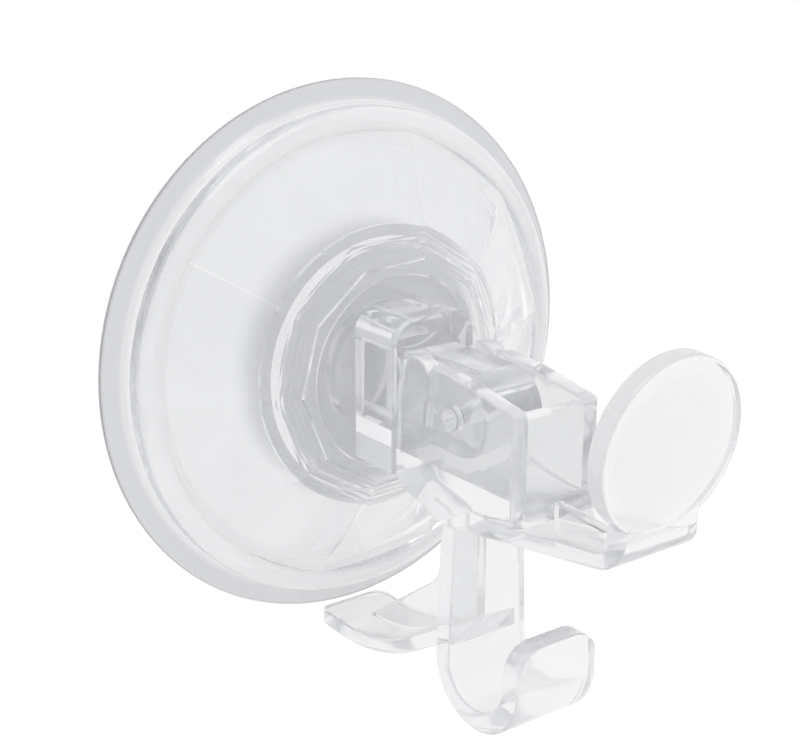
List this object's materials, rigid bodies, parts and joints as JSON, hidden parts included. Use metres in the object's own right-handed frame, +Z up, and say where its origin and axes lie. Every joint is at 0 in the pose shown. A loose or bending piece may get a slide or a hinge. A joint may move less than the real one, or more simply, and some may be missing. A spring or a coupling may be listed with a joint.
{
  "type": "suction cup hook",
  "caption": "Clear wall hook on a suction cup, with a faceted cover and a pinned lever that locks the cup and carries the hooks and a thumb disc.",
  "frame": {"origin": "centre of the suction cup's back, on the plane of the wall", "axes": "+Y points into the wall and the hook stands out towards -Y; +Z is up; +X is to the right as seen from the room"},
  "size_m": [0.085, 0.072, 0.088],
  "materials": {
    "soft_cup": "gloss",
    "clear_cover": "gloss",
    "clear_lever": "gloss",
    "clear_pin": "gloss"
  },
  "bodies": {
    "base": {"suction_cup": "soft_cup", "dome_cover": "clear_cover", "guide_block": "clear_cover"},
    "lever": {"lever_hook": "clear_lever", "pivot_pin": "clear_pin"}
  },
  "joints": [
    {"name": "lever_pivot", "type": "hinge", "parent": "base", "child": "lever", "pos_m": [0, -0.0364, 0], "axis": [-1, 0, 0], "range_deg": [0, 90]}
  ]
}
